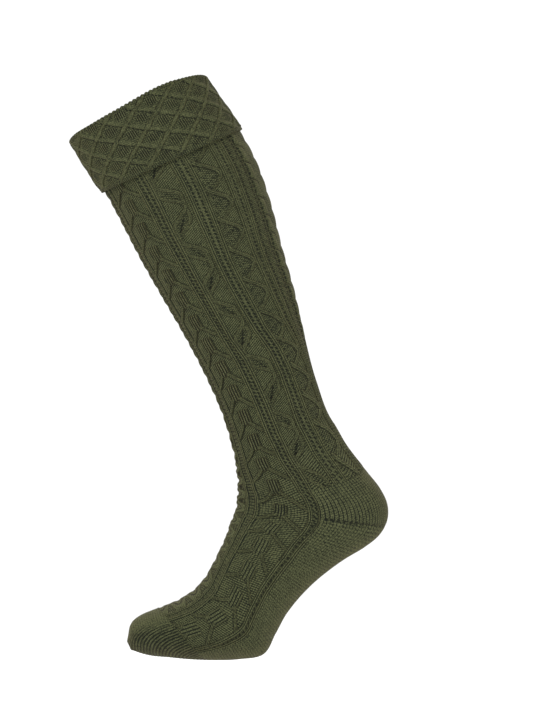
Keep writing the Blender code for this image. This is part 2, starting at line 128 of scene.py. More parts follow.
# Where the panels meet: share of the whole length, then shares of the girth from the front.
PANEL_LINES = [
    (0.000, 0.030, 0.052, 0.144, 0.175, 0.246, 0.279, 0.346, 0.373, 0.408),
    (0.192, 0.030, 0.055, 0.149, 0.175, 0.246, 0.280, 0.346, 0.373, 0.410),
    (0.270, 0.033, 0.061, 0.158, 0.183, 0.250, 0.281, 0.348, 0.373, 0.419),
    (0.307, 0.033, 0.061, 0.162, 0.186, 0.254, 0.287, 0.354, 0.378, 0.424),
    (0.346, 0.035, 0.062, 0.167, 0.190, 0.261, 0.296, 0.362, 0.386, 0.431),
    (0.385, 0.037, 0.066, 0.176, 0.198, 0.276, 0.308, 0.375, 0.400, 0.442),
    (0.423, 0.042, 0.074, 0.188, 0.218, 0.300, 0.333, 0.404, 0.422, 0.460),
    (0.461, 0.045, 0.078, 0.194, 0.227, 0.312, 0.348, 0.428, 0.444, 0.472),
    (0.538, 0.052, 0.088, 0.206, 0.241, 0.317, 0.360, 0.441, 0.456, 0.478),
    (0.638, 0.065, 0.095, 0.222, 0.250, 0.327, 0.364, 0.441, 0.456, 0.478),
    (0.673, 0.075, 0.107, 0.256, 0.281, 0.335, 0.372, 0.430, 0.452, 0.477),
    (0.692, 0.083, 0.118, 0.268, 0.290, 0.338, 0.374, 0.428, 0.450, 0.476),
    (0.731, 0.096, 0.128, 0.285, 0.307, 0.345, 0.380, 0.426, 0.448, 0.475),
    (0.827, 0.101, 0.136, 0.288, 0.311, 0.347, 0.381, 0.426, 0.448, 0.475),
    (0.885, 0.140, 0.172, 0.319, 0.340, 0.370, 0.399, 0.438, 0.457, 0.479),
    (0.923, 0.155, 0.186, 0.340, 0.362, 0.388, 0.413, 0.446, 0.463, 0.482),
    (1.000, 0.170, 0.200, 0.350, 0.370, 0.394, 0.418, 0.449, 0.465, 0.483),
]

# How far the rim stands above its front end: share of the girth, share of RIM_BOW.
# At the back it stands a little higher than the solid's.
RIM_LINE = [
    (0.000, 0.00), (0.075, 0.36), (0.125, 0.47), (0.170, 0.62), (0.210, 0.73), (0.250, 0.86),
    (0.282, 0.97), (0.314, 1.00), (0.347, 0.94), (0.388, 0.72), (0.430, 0.50), (0.470, 0.25),
    (0.500, 0.05),
]

# Edges of the pieces: the leg's split as a share of the leg, the heel's and its gore's places
# as shares of the bend, the toe's as shares of the foot.
LEG_SPLIT = 0.54
HEEL_CORNER = 0.33
HEEL_TOP = 0.21
GORE_CORNER = 0.48
GORE_CENTRE = 0.455
HEEL_BOTTOM_CORNER = 0.62
HEEL_BOTTOM = 0.74
TOE_TOP = 0.72
TOE_SOLE = 0.54

# Stitches: real distances between neighbouring stitches across and along the fabric.
WALE = 0.00210
COURSE = 0.00183

BEND_LENGTH = ANKLE_RADIUS * math.radians(ANKLE_BEND)
TOTAL_LENGTH = LEG_LENGTH + BEND_LENGTH + FOOT_LENGTH


def bend_at(share):
    """Place on the sock at a share of the bend at the ankle."""
    return LEG_LENGTH + share * BEND_LENGTH


def foot_at(share):
    """Place on the sock at a share of the foot."""
    return LEG_LENGTH + BEND_LENGTH + share * FOOT_LENGTH


def section_knots():
    """All sections as rows of place, front depth, back depth and half width."""
    rows = []
    for at, front, back, width in LEG_SECTIONS:
        rows.append((at * LEG_LENGTH, front * CALF_DEPTH, back * CALF_DEPTH, width * CALF_WIDTH))
    for at, front, back, width in HEEL_SECTIONS:
        rows.append((bend_at(at), front * HEEL_DEPTH, back * HEEL_DEPTH, width * HEEL_WIDTH))
    for at, front, back, width in FOOT_SECTIONS:
        rows.append((foot_at(at), front * BALL_DEPTH, back * BALL_DEPTH, width * BALL_WIDTH))
    return np.array(rows)


KNOTS = section_knots()
LINES = np.array(PANEL_LINES)


def smooth(u, places, values):
    """A smooth curve through the values, read at u."""
    gaps = np.diff(places)
    slopes = np.diff(values) / gaps
    tangents = np.empty_like(values)
    tangents[0] = slopes[0]
    tangents[-1] = slopes[-1]
    tangents[1:-1] = (slopes[:-1] * gaps[1:] + slopes[1:] * gaps[:-1]) / (gaps[1:] + gaps[:-1])
    i = np.clip(np.searchsorted(places, u) - 1, 0, len(places) - 2)
    t = np.clip((u - places[i]) / gaps[i], 0.0, 1.0)
    start = (1 + 2 * t) * (1 - t) ** 2 * values[i] + t * (1 - t) ** 2 * gaps[i] * tangents[i]
    end = t * t * (3 - 2 * t) * values[i + 1] + t * t * (t - 1) * gaps[i] * tangents[i + 1]
    return start + end


def middle_line(u):
    """Place and heading of the middle line at u; the heading is measured from straight down."""
    x = np.zeros_like(u)
    z = np.zeros_like(u)
    heading = np.zeros_like(u)
    start_x, start_z, lean, start = 0.0, 0.0, math.radians(LEG_LEAN), 0.0
    arcs = ((LEG_LENGTH, LEG_BEND), (BEND_LENGTH, ANKLE_BEND), (FOOT_LENGTH, FOOT_BEND))
    for length, bend in arcs:
        turn = -math.radians(bend) / length
        here = (u >= start) | (start == 0.0)
        angle = lean + turn * (u - start)
        x = np.where(here, start_x + (math.cos(lean) - np.cos(angle)) / turn, x)
        z = np.where(here, start_z - (np.sin(angle) - math.sin(lean)) / turn, z)
        heading = np.where(here, angle, heading)
        end = lean + turn * length
        start_x += (math.cos(lean) - math.cos(end)) / turn
        start_z -= (math.sin(end) - math.sin(lean)) / turn
        lean = end
        start += length
    return x, z, heading


def outline(u, angle):
    """The smooth body at u, angle 0 at the front centre line and pi at the back."""
    x, z, heading = middle_line(u)
    front = smooth(u, KNOTS[:, 0], KNOTS[:, 1])
    back = smooth(u, KNOTS[:, 0], KNOTS[:, 2])
    half = smooth(u, KNOTS[:, 0], KNOTS[:, 3])
    across = np.sign(np.cos(angle)) * np.abs(np.cos(angle)) ** (2 / ROUNDNESS)
    side = np.sign(np.sin(angle)) * np.abs(np.sin(angle)) ** (2 / ROUNDNESS)
    reach = (back - front) / 2 - (front + back) / 2 * across
    points = [x + np.cos(heading) * reach, -half * side, z + np.sin(heading) * reach]
    return np.stack(points, axis=-1)


# The angle at each share of the girth, tabled once so that dense grids stay quick.
TABLE_U = np.linspace(0.0, TOTAL_LENGTH - 1e-5, 700)
TABLE_V = np.linspace(0.0, 1.0, 361)


def girth_table():
    """The angles at each share of the girth, and the girths."""
    angles = np.linspace(0.0, 2 * math.pi, 721)
    ring = outline(TABLE_U[:, None] + np.zeros_like(angles), angles + np.zeros((len(TABLE_U), 1)))
    steps = np.linalg.norm(np.diff(ring, axis=1), axis=-1)
    run = np.concatenate([np.zeros((len(TABLE_U), 1)), np.cumsum(steps, axis=1)], axis=1)
    return np.array([np.interp(TABLE_V * r[-1], r, angles) for r in run]), run[:, -1]


ANGLES, GIRTHS = girth_table()


def angle_at(u, v):
    """The outline's angle at the share v of the girth, counted from the front."""
    row = np.clip(u / TABLE_U[1], 0.0, len(TABLE_U) - 1.001)
    col = np.mod(v, 1.0) * (len(TABLE_V) - 1)
    i, j = row.astype(int), np.minimum(col.astype(int), len(TABLE_V) - 2)
    a, b = row - i, col - j
    upper = ANGLES[i, j] * (1 - b) + ANGLES[i, j + 1] * b
    lower = ANGLES[i + 1, j] * (1 - b) + ANGLES[i + 1, j + 1] * b
    return upper * (1 - a) + lower * a


def lifted(u, v, rise):
    """A point at rise above the smooth body, along its normal."""
    u = np.minimum(u, TOTAL_LENGTH)
    step, turn = 0.0004, 0.003
    angle = angle_at(u, v)
    along = outline(np.minimum(u + step, TOTAL_LENGTH), angle) - outline(u - step, angle)
    around = outline(u, angle + turn) - outline(u, angle - turn)
    normal = np.cross(along, around)
    size = np.linalg.norm(normal, axis=-1, keepdims=True)
    heading = middle_line(u)[2]
    ahead = np.stack([np.sin(heading), np.zeros_like(heading), -np.cos(heading)], axis=-1)
    tip = u[..., None] > TOTAL_LENGTH - step
    normal = np.where(tip, ahead, normal / np.maximum(size, 1e-12))
    return outline(u, angle) + normal * rise[..., None]


def girth(u):
    """The way round the smooth body at u."""
    return np.interp(u, TABLE_U, GIRTHS)


def line(number, u):
    """Share of the girth where panel line number lies; 0 is the front and 10 the back."""
    if number == 0:
        return np.zeros_like(u)
    if number == LINES.shape[1]:
        return np.full_like(u, 0.5)
    return np.interp(u / TOTAL_LENGTH, LINES[:, 0], LINES[:, number])


# The charts below work in millimetres: u along the sock, x across the panel.
# A patch holds, for each point, the height above the body, the wale and course number,
# how far the stitch is a purl, a seed stitch or a deep groove, and how much painted shade
# darkens it where it lies in a hole, a hollow or beside a raised strand.
FIELDS = ("height", "wale", "course", "seed", "purl", "groove", "painted_shade")
WALE_MM = WALE * 1000
COURSE_MM = COURSE * 1000
STRAND = 1.5
GROUND = -0.5


def patch(u, wale, height=0.0, purl=0.0, groove=0.4):
    """Level cloth with its wales numbered; the other fields start the same all over."""
    full = np.ones_like(u)
    return {"height": height * full, "wale": wale, "course": u / COURSE_MM, "seed": 0.0 * full,
            "purl": purl * full, "groove": groove * full, "painted_shade": 0.0 * full}


def wave(turns):
    """1 at whole turns and 0 half way between."""
    return 0.5 + 0.5 * np.cos(2 * math.pi * turns)


def ease(t):
    """0 up to t = 0, 1 from t = 1, and smooth between."""
    t = np.clip(t, 0.0, 1.0)
    return t * t * (3 - 2 * t)


def nearest(distance, period):
    """Signed distance to the nearest whole period."""
    return np.mod(distance + 0.5 * period, period) - 0.5 * period


def spot(du, dx, half_u, half_x):
    """A round spot, 1 at its middle."""
    return np.exp(-(du / half_u) ** 2 - (dx / half_x) ** 2)


def lay(cloth, away, half, rise, shade, where=True):
    """Lay a raised cord over a patch, with painted shadow beside it; away is the distance from its
    middle line.
    """
    over = (np.abs(away) < half) & where
    top = rise * np.sqrt(np.clip(1 - (away / half) ** 2, 0.0, 1.0))
    cloth["height"] = np.where(over, np.maximum(top, cloth["height"] + 0.15), cloth["height"])
    cloth["wale"] = np.where(over, away / (0.95 * half), cloth["wale"])
    for field, value in (("purl", 0.0), ("seed", 0.0), ("groove", 0.45), ("painted_shade", 0.0)):
        cloth[field] = np.where(over, value, cloth[field])
    # Painted shadow on the ground beside the cord, as strong as shade.
    beside = np.exp(-((np.abs(away) - half) / 0.9) ** 2) * where
    cloth["painted_shade"] = np.where(over, cloth["painted_shade"], np.maximum(cloth["painted_shade"], shade * beside))


def lay_path(cloth, u, x, path, half, rise, shade, where=True):
    """Lay a cord whose middle runs at x = path(u), as wide square to its own run."""
    slope = (path(u + 0.5) - path(u - 0.5))
    lay(cloth, (x - path(u)) / np.sqrt(1 + slope ** 2), half, rise, shade, where)


def double_rib(cloth, x, half=2.0, rise=0.6):
    """Two knit wales side by side, standing up from the ground."""
    over = np.abs(x) < half
    top = rise * np.abs(np.sin(math.pi * x / half)) ** 0.7
    cloth["height"] = np.where(over, np.maximum(top, 0.1 * rise), cloth["height"])
    cloth["wale"] = np.where(over, x / half, cloth["wale"])
    for field, value in (("purl", 0.0), ("seed", 0.0), ("groove", 1.0)):
        cloth[field] = np.where(over, value, cloth[field])
    # Painted shade in the grooves beside the two wales.
    beside = np.exp(-((np.abs(x) - half) / 0.7) ** 2)
    cloth["painted_shade"] = np.where(over, 0.0, np.maximum(cloth["painted_shade"], 0.3 * beside))


def on_foot(u):
    """0 on the leg and 1 on the foot, where the same knit is finer and flatter."""
    return ease((u - 385) / 30)


# Places along the sock, in millimetres from the leg opening.
CABLE_TOPS = np.array([0.0, 24.2, 48.6, 73, 97, 121.4, 145.8, 170.2, 194.6, 219, 243.4, 267.8,
                       292.2, 316.6, 341, 365.4, 390, 408, 426, 452, 478, 501, 526, 550, 574, 600])
# Where the middle of the cable panel lies on the foot: place, share of the panel's width.
CABLE_MIDDLE = np.array([(360, 0.50), (417, 0.42), (438, 0.48), (463, 0.53), (488, 0.52),
                         (510, 0.46), (533, 0.42)])
VINE_TURNS = np.array([14, 42, 71, 98, 127, 157, 186, 215, 244, 271, 300, 328, 353, 380, 408])
DIAMOND_STARTS = np.array([34.0, 63.6, 91, 119.5, 148.6, 178, 210, 238, 266, 294, 322, 350, 378])
FRONT_REPEAT = 18.7
ROPE_STROKE = 7.1
EYELET = 3.65

# Stitch rows and repeats of single charts, in millimetres unless they are counts.
PETAL_START = 82
PETAL_REPEAT = ROPE_REPEAT * 1000
PETAL_WIDTH = 9.5
CHEVRON_START = 96
CHEVRON_REPEAT = 41.0
CHEVRON_LINE = 5.1
SOLE_COURSE = 2.07
TOE_COURSE = 2.35
TOE_BEND = 0.12  # per millimetre
HEEL_WALES = 25  # from a corner of the heel to its back


def front_chart(u, x, width):
    """A narrow cable: two strands that part round dark holes and meet on the centre line."""
    cloth = patch(u, 6 * x / width, GROUND, 1.0)

    def strand(at):
        return width * (0.42 - 0.27 * np.cos(2 * math.pi * at / FRONT_REPEAT))

    calm = 1 - 0.6 * on_foot(u)
    swell = calm * (0.6 + 0.85 * (1 - wave(2 * u / FRONT_REPEAT)) ** 0.7)
    lay_path(cloth, u, x, strand, 0.17 * width + 1.4, swell, 0.45 * calm)
    # Painted shade in the dark holes where the strands part.
    hole = calm ** 2.5 * spot(nearest(u, FRONT_REPEAT), x - 0.62 * width, 2.3, 0.12 * width)
    cloth["painted_shade"] = np.maximum(cloth["painted_shade"], hole)
    cloth["height"] -= 0.9 * hole
    return cloth


def recess_chart(u, x, width):
    """Short bars between the two front ribs."""
    cloth = patch(u, 4 * x / width, -0.4, 0.3, 0.2)
    cloth["height"] += 0.35 * wave(u / EYELET)
    # Painted shade in the gaps between the bars.
    cloth["painted_shade"] = (0.65 - 0.35 * on_foot(u)) * (1 - wave(u / EYELET)) ** 2
    return cloth


def cable_chart(u, x, width):
    """Ribbed blocks, each ending in two strands that spread to the panel's edges."""
    cloth = patch(u, 17 * x / width, GROUND, 0.85, 0.25)
    middle = np.interp(u, CABLE_MIDDLE[:, 0], CABLE_MIDDLE[:, 1])
    x = x - middle * width
    side = np.where(x > 0, (1 - middle) * width, middle * width)
    block = np.clip(np.searchsorted(CABLE_TOPS, u, side="right") - 1, 1, len(CABLE_TOPS) - 2)
    away = np.abs(x)
    foot = on_foot(u)
    half_block = 5.6 + 1.2 * foot
    arm = STRAND - 0.3 * foot
    for before in (1, 0):
        top = CABLE_TOPS[block - before]
        period = CABLE_TOPS[block - before + 1] - top
        t = (u - top) / period
        s = np.clip((t - 0.46) / 0.62, 0.0, 1.0)
        run = 3.4 + (side - 3.4) * s ** 1.4
        slope = (side - 3.4) * 1.4 * s ** 0.4 / (0.62 * period) * (s > 0)
        square = np.sqrt(1 + slope ** 2)
        if before == 0:
            ribbed = (away < half_block) & (t >= 0.0) & (t < 0.62 + 0.05 * foot)
            pitch = half_block / 2.15
            rib = np.abs(np.cos(math.pi * x / pitch))
            crown = 0.5 + 0.6 * np.sqrt(np.clip(1 - (x / (half_block + 0.3)) ** 2, 0, 1))
            ribs = (1 - 0.6 * foot) * crown * ease(t / 0.10) + (0.8 - 0.5 * foot) * rib ** 0.8
            cloth["height"] = np.where(ribbed, ribs, cloth["height"])
            cloth["wale"] = np.where(ribbed, x / pitch + 0.5, cloth["wale"])
            # Painted shade in the grooves between the block's ribs.
            dip = (0.8 - 0.6 * foot) * (1 - rib)
            for field, value in (("purl", 0.0), ("groove", 1.0 - 0.45 * foot), ("painted_shade", dip)):
                cloth[field] = np.where(ribbed, value, cloth[field])
            # Painted shadow along the block's sides.
            shoulder = np.exp(-((away - half_block - 0.6) / 0.7) ** 2) * ((t > 0.02) & (t < 0.52))
            shoulder *= 0.42 - 0.25 * foot
            cloth["painted_shade"] = np.maximum(cloth["painted_shade"], np.where(ribbed, 0.0, shoulder))
        fork = (t > 0.55) & (t < 1.06)
        # Painted shadow beside the spreading arms, stronger on the front side; the ground also dips
        # there.
        streak = np.exp(-(((run - away) / square - arm - 0.5) / 0.9) ** 2) * fork
        strength = np.where(x < 0, 0.5, 0.25) * ease((t - 0.52) / 0.1) * (1 - 0.6 * foot)
        cloth["painted_shade"] = np.maximum(cloth["painted_shade"], strength * streak)
        cloth["height"] = cloth["height"] - 0.5 * strength * streak
        lay(cloth, (away - run) / square, arm, 1.05 - 0.35 * foot, 0.4, (t > 0.5) & (t < 1.08))
    return cloth


def ladder_chart(u, x, width, columns):
    """Eyelets between the ribs, joined by short slanted bars."""
    cloth = patch(u, 6 * x / width, -0.15, 0.35, 0.0)
    for number, share in enumerate(columns):
        down = u + 0.5 * EYELET * number - 0.5 * (x - share * width)
        share = share + (0.5 - share) * on_foot(u)
        hole = spot(nearest(down, EYELET), x - share * width, 0.9, 0.75)
        if number == 1:
            hole *= 1 - on_foot(u)
        # Painted shade in the eyelets.
        cloth["painted_shade"] = np.maximum(cloth["painted_shade"], (1.9 - 0.7 * on_foot(u)) * hole)
        cloth["height"] -= 0.7 * hole
    bars = wave(0.5 + (u - 0.5 * x) / EYELET)
    cloth["height"] += 0.4 * bars
    return cloth


def vine_chart(u, x, width):
    """Two strands that wind from side to side and enclose leaves of seed stitch."""
    cloth = patch(u, 13 * x / width, GROUND, 1.0, 0.15)
    near, far = 0.11 * width, 0.76 * width

    def strand(at, late):
        turn = np.clip(np.searchsorted(VINE_TURNS, at, side="right") - 1, 0, len(VINE_TURNS) - 2)
        gap = VINE_TURNS[turn + 1] - VINE_TURNS[turn]
        share = ease(((at - VINE_TURNS[turn]) / gap - late) / 0.6)
        forth = turn % 2 == 0
        return np.where(forth, near + (far - near) * share, far - (far - near) * share)

    first, second = strand(u, 0.0), strand(u, 0.4)
    leaf = (x > np.minimum(first, second)) & (x < np.maximum(first, second))
    turn = np.clip(np.searchsorted(VINE_TURNS, u, side="right") - 1, 0, len(VINE_TURNS) - 2)
    share = (u - VINE_TURNS[turn]) / (VINE_TURNS[turn + 1] - VINE_TURNS[turn])
    middle = 0.5 * (first + second)
    hole = np.zeros_like(u)
    for at, size in ((0.42, 1.0), (0.55, 1.2), (0.68, 1.3)):
        size = size * np.where(turn % 2 == 1, 1.0, 0.6)
        hole = np.maximum(hole, 1.6 * spot((share - at) * 28.0, x - middle, 1.2 * size, 0.8 * size))
    hole *= leaf
    cloth["height"] = np.where(leaf, -0.25, cloth["height"]) - 1.0 * hole
    cloth["seed"] = np.where(leaf, 1.0, 0.0)
    # Painted shade on the sunk leaves and in their holes.
    cloth["painted_shade"] = np.maximum(np.where(leaf, 0.15, 0.0), hole)
    lay_path(cloth, u, x, lambda at: strand(at, 0.4), 1.4, 0.75, 0.3)
    lay_path(cloth, u, x, lambda at: strand(at, 0.0), 1.5, 0.9, 0.3)
    return cloth


def diamond_chart(u, x, width):
    """Smooth strands that run down towards the back and return round seed-stitch leaves."""
    cloth = patch(u, 13 * x / width, GROUND, 1.0, 0.15)
    near, far = 0.10 * width, 0.84 * width
    start = np.searchsorted(DIAMOND_STARTS, u, side="right") - 1
    start = np.clip(start, 1, len(DIAMOND_STARTS) - 2)
    thick = 1.7 + 0.5 * ease((u - 230) / 40)
    for before in (1, 0):
        top = DIAMOND_STARTS[start - before]
        t = u - top
        down = near + (far - near) * ease(t / 19.0 * 0.9 + 0.05)
        back = far - (far - near) * ease((t - 20.0) / 19.0)
        leaf = (x < down - 1.0) & (x < back) & (x > 0.15 * width) & (t > 0)
        cloth["seed"] = np.where(leaf, 1.0, cloth["seed"])
        cloth["height"] = np.where(leaf, -0.2, cloth["height"])
        drift = 1.4 * np.sin(0.9 * t + 1.7 * x)
        below, beside = nearest(t - 16 + drift, 4.1), nearest(x - 0.45 * width + drift, 4.4)
        # Painted shade in the holes of the seed-stitch leaves.
        cloth["painted_shade"] = np.maximum(cloth["painted_shade"], 1.1 * spot(below, beside, 1.0, 0.7) * leaf)
        lay(cloth, (x - back) / math.sqrt(2.0), 0.8 * thick, 0.6, 0.3, (t > 20) & (t < 38))
        slope = np.where((t > 0) & (t < 20), (far - near) / 17.0, 0.0)
        square = np.sqrt(1 + slope ** 2)
        lay(cloth, (x - down) / square, thick, 0.95, 0.3, (t > -1) & (t < 21))
        shadow = np.exp(-(((down - x) / square - thick - 0.4) / 0.8) ** 2) * ((t > 2) & (t < 22))
        cloth["painted_shade"] = np.maximum(cloth["painted_shade"], 0.4 * shadow)
    return cloth


def rope_chart(u, x, width):
    """Slanted strokes, one over the next, down to the hole line at the back."""
    turns = (u - 0.95 * x) / ROPE_STROKE
    cloth = patch(u, 6 * x / width, -0.35, 0.1, 0.5)
    fall = np.mod(turns, 1.0)
    cloth["height"] += 0.7 * np.sqrt(np.clip(1 - (2 * fall - 1) ** 2, 0, 1)) * ease(4 * x / width)
    # Painted shade between one stroke and the next, and in the holes below.
    cloth["painted_shade"] = 0.3 * np.exp(-(nearest(turns, 1.0) * ROPE_STROKE / 0.8) ** 2)
    for share, late in ((0.25, 0.0), (0.8, 0.5)):
        hole = spot(nearest(u - late * ROPE_STROKE, 0.5 * ROPE_STROKE), x - share * width, 0.9, 0.8)
        cloth["painted_shade"] = np.maximum(cloth["painted_shade"], 1.3 * hole)
        cloth["height"] -= 0.5 * hole
    cloth["wale"] = turns * 3
    return cloth


def back_chart(u, x, width):
    """Petals along the hole line, then smooth ground with nested chevrons; ribs lower down."""
    open_share = 1 - ease((u - 236) / 26)
    cloth = patch(u, x / WALE_MM, 0.0, 0.0, 0.55)
    centre = width - x
    petal = PETAL_WIDTH
    rows = (u - PETAL_START - 0.55 * x) / PETAL_REPEAT
    bulge = np.sqrt(np.clip(1 - ((x - 0.5 * petal) / (0.5 * petal)) ** 2, 0, 1))
    along = 1 - np.abs(2 * np.mod(rows, 1.0) - 1) ** 5
    chevron = np.mod((u + 0.95 * centre - CHEVRON_START) / CHEVRON_REPEAT, 1.0)
    fine = (chevron < 0.62) & (centre < 22)
    lines = 1 - (1 - wave((u + 0.95 * centre) / CHEVRON_LINE)) ** 3
    on_petal = x < petal
    scallop = 1.3 * np.abs(np.sin(math.pi * (u - PETAL_START) / PETAL_REPEAT)) ** 0.7
    ground = scallop - 0.6 + np.where(fine, 0.5 * lines - 0.4, 0.1)
    top = np.where(on_petal, 0.1 + 1.9 * bulge * along, ground)
    # Painted shade between the petals' rows and between the chevron lines.
    painted_shade = np.where(on_petal, 0.5 * np.exp(-(nearest(rows, 1.0) * PETAL_REPEAT / 0.9) ** 2) * bulge,
                   np.where(fine, 0.45 * (1 - lines), 0.0))
    edge = np.exp(-((x - petal) / 0.8) ** 2)
    ribs = 0.5 * np.abs(np.cos(math.pi * centre / (2 * WALE_MM)))
    cloth["height"] = open_share * top + (1 - open_share) * (ribs - 0.1)
    # Painted shade along the petals' edge, and lower down between the ribs.
    cloth["painted_shade"] = open_share * np.maximum(painted_shade, 0.5 * edge)
    cloth["painted_shade"] += (1 - open_share) * 0.3 * np.exp(-(nearest(centre - 2.1, 4.2) / 0.6) ** 2)
    cloth["groove"] = np.where(on_petal, 0.15, 0.35) * open_share + 0.5 * (1 - open_share)
    return cloth


def plain_chart(u, x, width):
    """The sole: stockinette, its courses as clear as its wales."""
    cloth = patch(u, x / WALE_MM, -0.05, 0.35, 0.25)
    cloth["course"] = u / SOLE_COURSE - 0.5 * cloth["wale"]
    return cloth


CHARTS = [
    front_chart,
    recess_chart,
    cable_chart,
    lambda u, x, width: ladder_chart(u, x, width, (0.33, 0.67)),
    vine_chart,
    lambda u, x, width: ladder_chart(u, x, width, (0.32, 0.67)),
    diamond_chart,
    lambda u, x, width: ladder_chart(u, x, width, (0.5,)),
    rope_chart,
    back_chart,
]
RIB_LINES = (1, 2, 3, 4, 5, 6, 7, 8)
PETAL_LINE = 9
# Here the vine begins on the leg, and the plain heel and sole begin below it.
SOLE_LINE = 4


def knit(u, v, plain_from=None):
    """The knit of the leg and instep; from panel line plain_from on it is the plain sole."""
    side = np.mod(v, 1.0)
    side = np.minimum(side, 1.0 - side)
    around = girth(u)
    cloth = {field: np.zeros_like(u) for field in FIELDS}
    charts = CHARTS if plain_from is None else CHARTS[:plain_from] + [plain_chart]
    for number, chart in enumerate(charts):
        low = line(number, u)
        high = line(number + 1, u) if number < len(charts) - 1 else np.full_like(u, 0.5)
        here = (side >= low) & (side <= high)
        x = (side - low) * around * 1000
        width = (high - low) * around * 1000
        piece = chart(u[here] * 1000, x[here], width[here])
        for field in FIELDS:
            cloth[field][here] = piece[field]
    for number in RIB_LINES:
        if plain_from is None or number <= plain_from:
            double_rib(cloth, (side - line(number, u)) * around * 1000)
    if plain_from is None:
        hole_line(cloth, u * 1000, (side - line(PETAL_LINE, u)) * around * 1000)
    return cloth


def hole_line(cloth, u, x):
    """The scalloped row of small holes behind the rope, four to a petal."""
    x = x - 0.9 * np.abs(np.sin(math.pi * (u - PETAL_START) / PETAL_REPEAT))
    hole = 1.5 * spot(nearest(u - PETAL_START, 0.25 * PETAL_REPEAT), x, 1.1, 0.75)
    crease = 0.35 * np.exp(-(x / 0.8) ** 2)
    fade = 1 - ease((u - 245) / 25)
    # Painted shade in the holes and along the crease.
    cloth["painted_shade"] = np.maximum(cloth["painted_shade"], fade * np.maximum(hole, crease))
    cloth["height"] -= 0.7 * fade * np.maximum(hole, crease)


def rim_rise(v):
    """How far the rim stands above its front end."""
    side = np.minimum(np.mod(v, 1.0), 1.0 - np.mod(v, 1.0))
    places = np.array(RIM_LINE)
    return RIM_BOW * np.interp(side, places[:, 0], places[:, 1])


def cuff_knit(u, v):
    """Crossing strands round diamonds of open ribs, with a plain band at the lower edge."""
    around = girth(u) * 1000 + 2 * math.pi * 3.3
    x = v * around
    down = u * 1000
    cloth = patch(down, x / WALE_MM, -0.6, 0.0, 1.0)
    cloth["course"] = down / COURSE_MM + 0.5 * np.floor(x / WALE_MM)
    pitch = DIAMOND_HEIGHT * 1000
    place = (down - DIAMOND_START * 1000) / pitch + 0.5
    stretch = 1 / np.sqrt((CUFF_DIAMONDS / around) ** 2 + (1 / pitch) ** 2)
    across = CUFF_DIAMONDS * v - DIAMOND_TURN
    rising = (np.mod(across + place, 1.0) - 0.5) * stretch
    falling = (np.mod(across - place, 1.0) - 0.5) * stretch
    rising += 0.3 * np.sin(0.8 * down + 10 * math.pi * v)
    falling += 0.35 * np.sin(0.63 * down - 14 * math.pi * v)
    reach = (0.5 * stretch - np.abs(rising)) ** 2 + (0.5 * stretch - np.abs(falling)) ** 2
    open_part = np.clip(1.7 - reach / stretch ** 2 / 0.052, 0.0, 1.0)
    bars = np.abs(np.cos(math.pi * (x / WALE_MM - 0.5)))
    cloth["height"] += 0.6 * bars * open_part
    # Painted shade in the slots between the open ribs, and a little over all the ground.
    cloth["painted_shade"] = 0.05 + 1.2 * (1 - bars) ** 2 * open_part
    cloth["purl"] = 1 - open_part
    cloth["groove"] = open_part
    lay(cloth, falling, 2.1, 0.8, 0.2)
    flat = np.abs(falling) < 2.1
    for field, value in (("purl", 0.5), ("groove", 0.0), ("wale", x / WALE_MM)):
        cloth[field] = np.where(flat, value, cloth[field])
    # Painted shadow in a dotted line under each falling strand.
    shadow_under = np.exp(-((falling + 2.8) / 0.6) ** 2) * (0.55 + 0.45 * np.cos(2 * math.pi * x / 3.1))
    cloth["painted_shade"] = np.maximum(cloth["painted_shade"], 1.1 * shadow_under)
    cloth["height"] -= 0.3 * shadow_under
    lay(cloth, rising, 1.5, 1.2, 0.3)
    cloth["groove"] = np.where(np.abs(rising) < 1.6, 0.1, cloth["groove"])
    band = ease((down - CUFF_LENGTH * 1000 + 3.4) / 1.0)
    # The plain band keeps a little painted shade.
    for field, value in (("height", 0.1), ("purl", 0.3), ("painted_shade", 0.1), ("groove", 0.7)):
        cloth[field] = cloth[field] * (1 - band) + value * band
    left = 1000 * (u + rim_rise(v))
    rim = 1 - ease((left - 1.2) / 1.6)
    bump = np.abs(np.cos(math.pi * RIM_BUMPS * v))
    cloth["height"] = cloth["height"] * (1 - rim) + (0.1 + 0.7 * bump) * rim
    # Painted shade between the rim's bumps.
    cloth["painted_shade"] = cloth["painted_shade"] * (1 - rim) + 0.6 * rim * (1 - bump) ** 2
    return cloth


def heel_knit(u, b, top, gore):
    """Stockinette that turns at the gore: down the heel above it, along the sole below."""
    half = np.clip(1 - np.abs(2 * b - 1), 0.0, 1.0)
    turn = np.clip((u - top) / (gore - top), 0.0, 1.0) * 0.9 + 1e-6
    share = ((1 + 0.5 * turn) - np.sqrt((1 + 0.5 * turn) ** 2 - 2 * turn * half)) / turn
    cloth = patch(u * 1000, HEEL_WALES * share, 0.0, 0.0, 0.36)
    above = u < gore
    cloth["course"] = (u - top) * 1000 / COURSE_MM * (1 + 0.8 * half)
    away = (u - gore) * 1000
    from_corner = half * HEEL_WALES * WALE_MM
    sole = plain_chart(u * 1000, from_corner, None)
    for field in ("wale", "course", "purl", "groove", "height"):
        cloth[field] = np.where(above, cloth[field], sole[field])
    crease = np.exp(-(away / 1.0) ** 2)
    dots = wave(from_corner / 3.8)
    crease *= ease(half * 12) * (1 - 0.75 * ease((half - 0.35) / 0.45))
    # Painted shade along the gore's crease, in dots, and a little over the heel above the gore.
    cloth["painted_shade"] = 0.05 * above + crease * (0.15 + 0.5 * dots)
    cloth["height"] -= 0.5 * crease
    return cloth


